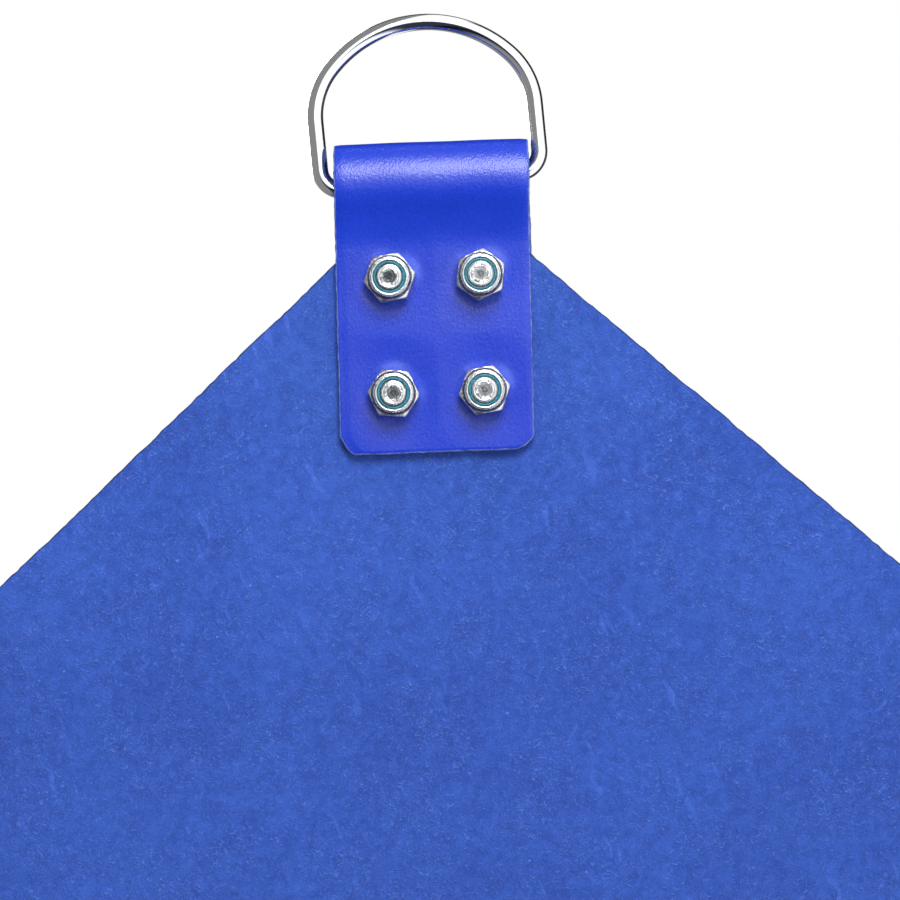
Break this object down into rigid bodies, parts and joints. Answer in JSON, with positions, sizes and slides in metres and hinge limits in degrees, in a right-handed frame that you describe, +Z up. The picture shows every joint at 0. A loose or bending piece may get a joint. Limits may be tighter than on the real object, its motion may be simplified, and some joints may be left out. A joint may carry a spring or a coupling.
{
  "type": "welding apron",
  "caption": "Heavy leather welding apron with a pointed bib, carried and tied by D-rings in folded leather tabs that are bolted through the panel.",
  "frame": {"origin": "middle of the neck ring's bar, where the apron hangs", "axes": "+Z up towards the neck, the front of the apron faces -Y, +X to the viewer's right"},
  "size_m": [0.7032, 0.0586, 0.9648],
  "materials": {
    "panel_leather": "rough split suede at the front, smooth grain at the back",
    "tab_leather": "smooth dyed grain with a soft sheen",
    "ring_chrome": "bright nickel plate",
    "bolt_zinc": "bright zinc plate",
    "nut_zinc": "bright zinc plate",
    "insert_nylon": "translucent dyed nylon"
  },
  "bodies": {
    "apron": {"apron_panel": "panel_leather", "neck_tab": "tab_leather", "neck_bolt_1": "bolt_zinc", "neck_nut_1": "nut_zinc", "neck_insert_1": "insert_nylon", "neck_bolt_2": "bolt_zinc", "neck_nut_2": "nut_zinc", "neck_insert_2": "insert_nylon", "neck_bolt_3": "bolt_zinc", "neck_nut_3": "nut_zinc", "neck_insert_3": "insert_nylon", "neck_bolt_4": "bolt_zinc", "neck_nut_4": "nut_zinc", "neck_insert_4": "insert_nylon", "left_tab": "tab_leather", "left_bolt_1": "bolt_zinc", "left_nut_1": "nut_zinc", "left_insert_1": "insert_nylon", "left_bolt_2": "bolt_zinc", "left_nut_2": "nut_zinc", "left_insert_2": "insert_nylon", "left_bolt_3": "bolt_zinc", "left_nut_3": "nut_zinc", "left_insert_3": "insert_nylon", "left_bolt_4": "bolt_zinc", "left_nut_4": "nut_zinc", "left_insert_4": "insert_nylon", "right_tab": "tab_leather", "right_bolt_1": "bolt_zinc", "right_nut_1": "nut_zinc", "right_insert_1": "insert_nylon", "right_bolt_2": "bolt_zinc", "right_nut_2": "nut_zinc", "right_insert_2": "insert_nylon", "right_bolt_3": "bolt_zinc", "right_nut_3": "nut_zinc", "right_insert_3": "insert_nylon", "right_bolt_4": "bolt_zinc", "right_nut_4": "nut_zinc", "right_insert_4": "insert_nylon"},
    "neck_ring": {"neck_ring": "ring_chrome"},
    "left_ring": {"left_ring": "ring_chrome"},
    "right_ring": {"right_ring": "ring_chrome"}
  },
  "joints": [
    {"name": "neck_ring_swing", "type": "hinge", "parent": "apron", "child": "neck_ring", "pos_m": [0, 0, 0], "axis": [0.998, 0, 0.0628], "range_deg": [-158, 158]},
    {"name": "left_ring_swing", "type": "hinge", "parent": "apron", "child": "left_ring", "pos_m": [-0.31108, 0.03704, -0.30727], "axis": [-0.0616, 0.012, 0.998], "range_deg": [-150, 150]},
    {"name": "right_ring_swing", "type": "hinge", "parent": "apron", "child": "right_ring", "pos_m": [0.31108, 0.03704, -0.30727], "axis": [-0.0616, -0.012, -0.998], "range_deg": [-150, 150]}
  ]
}
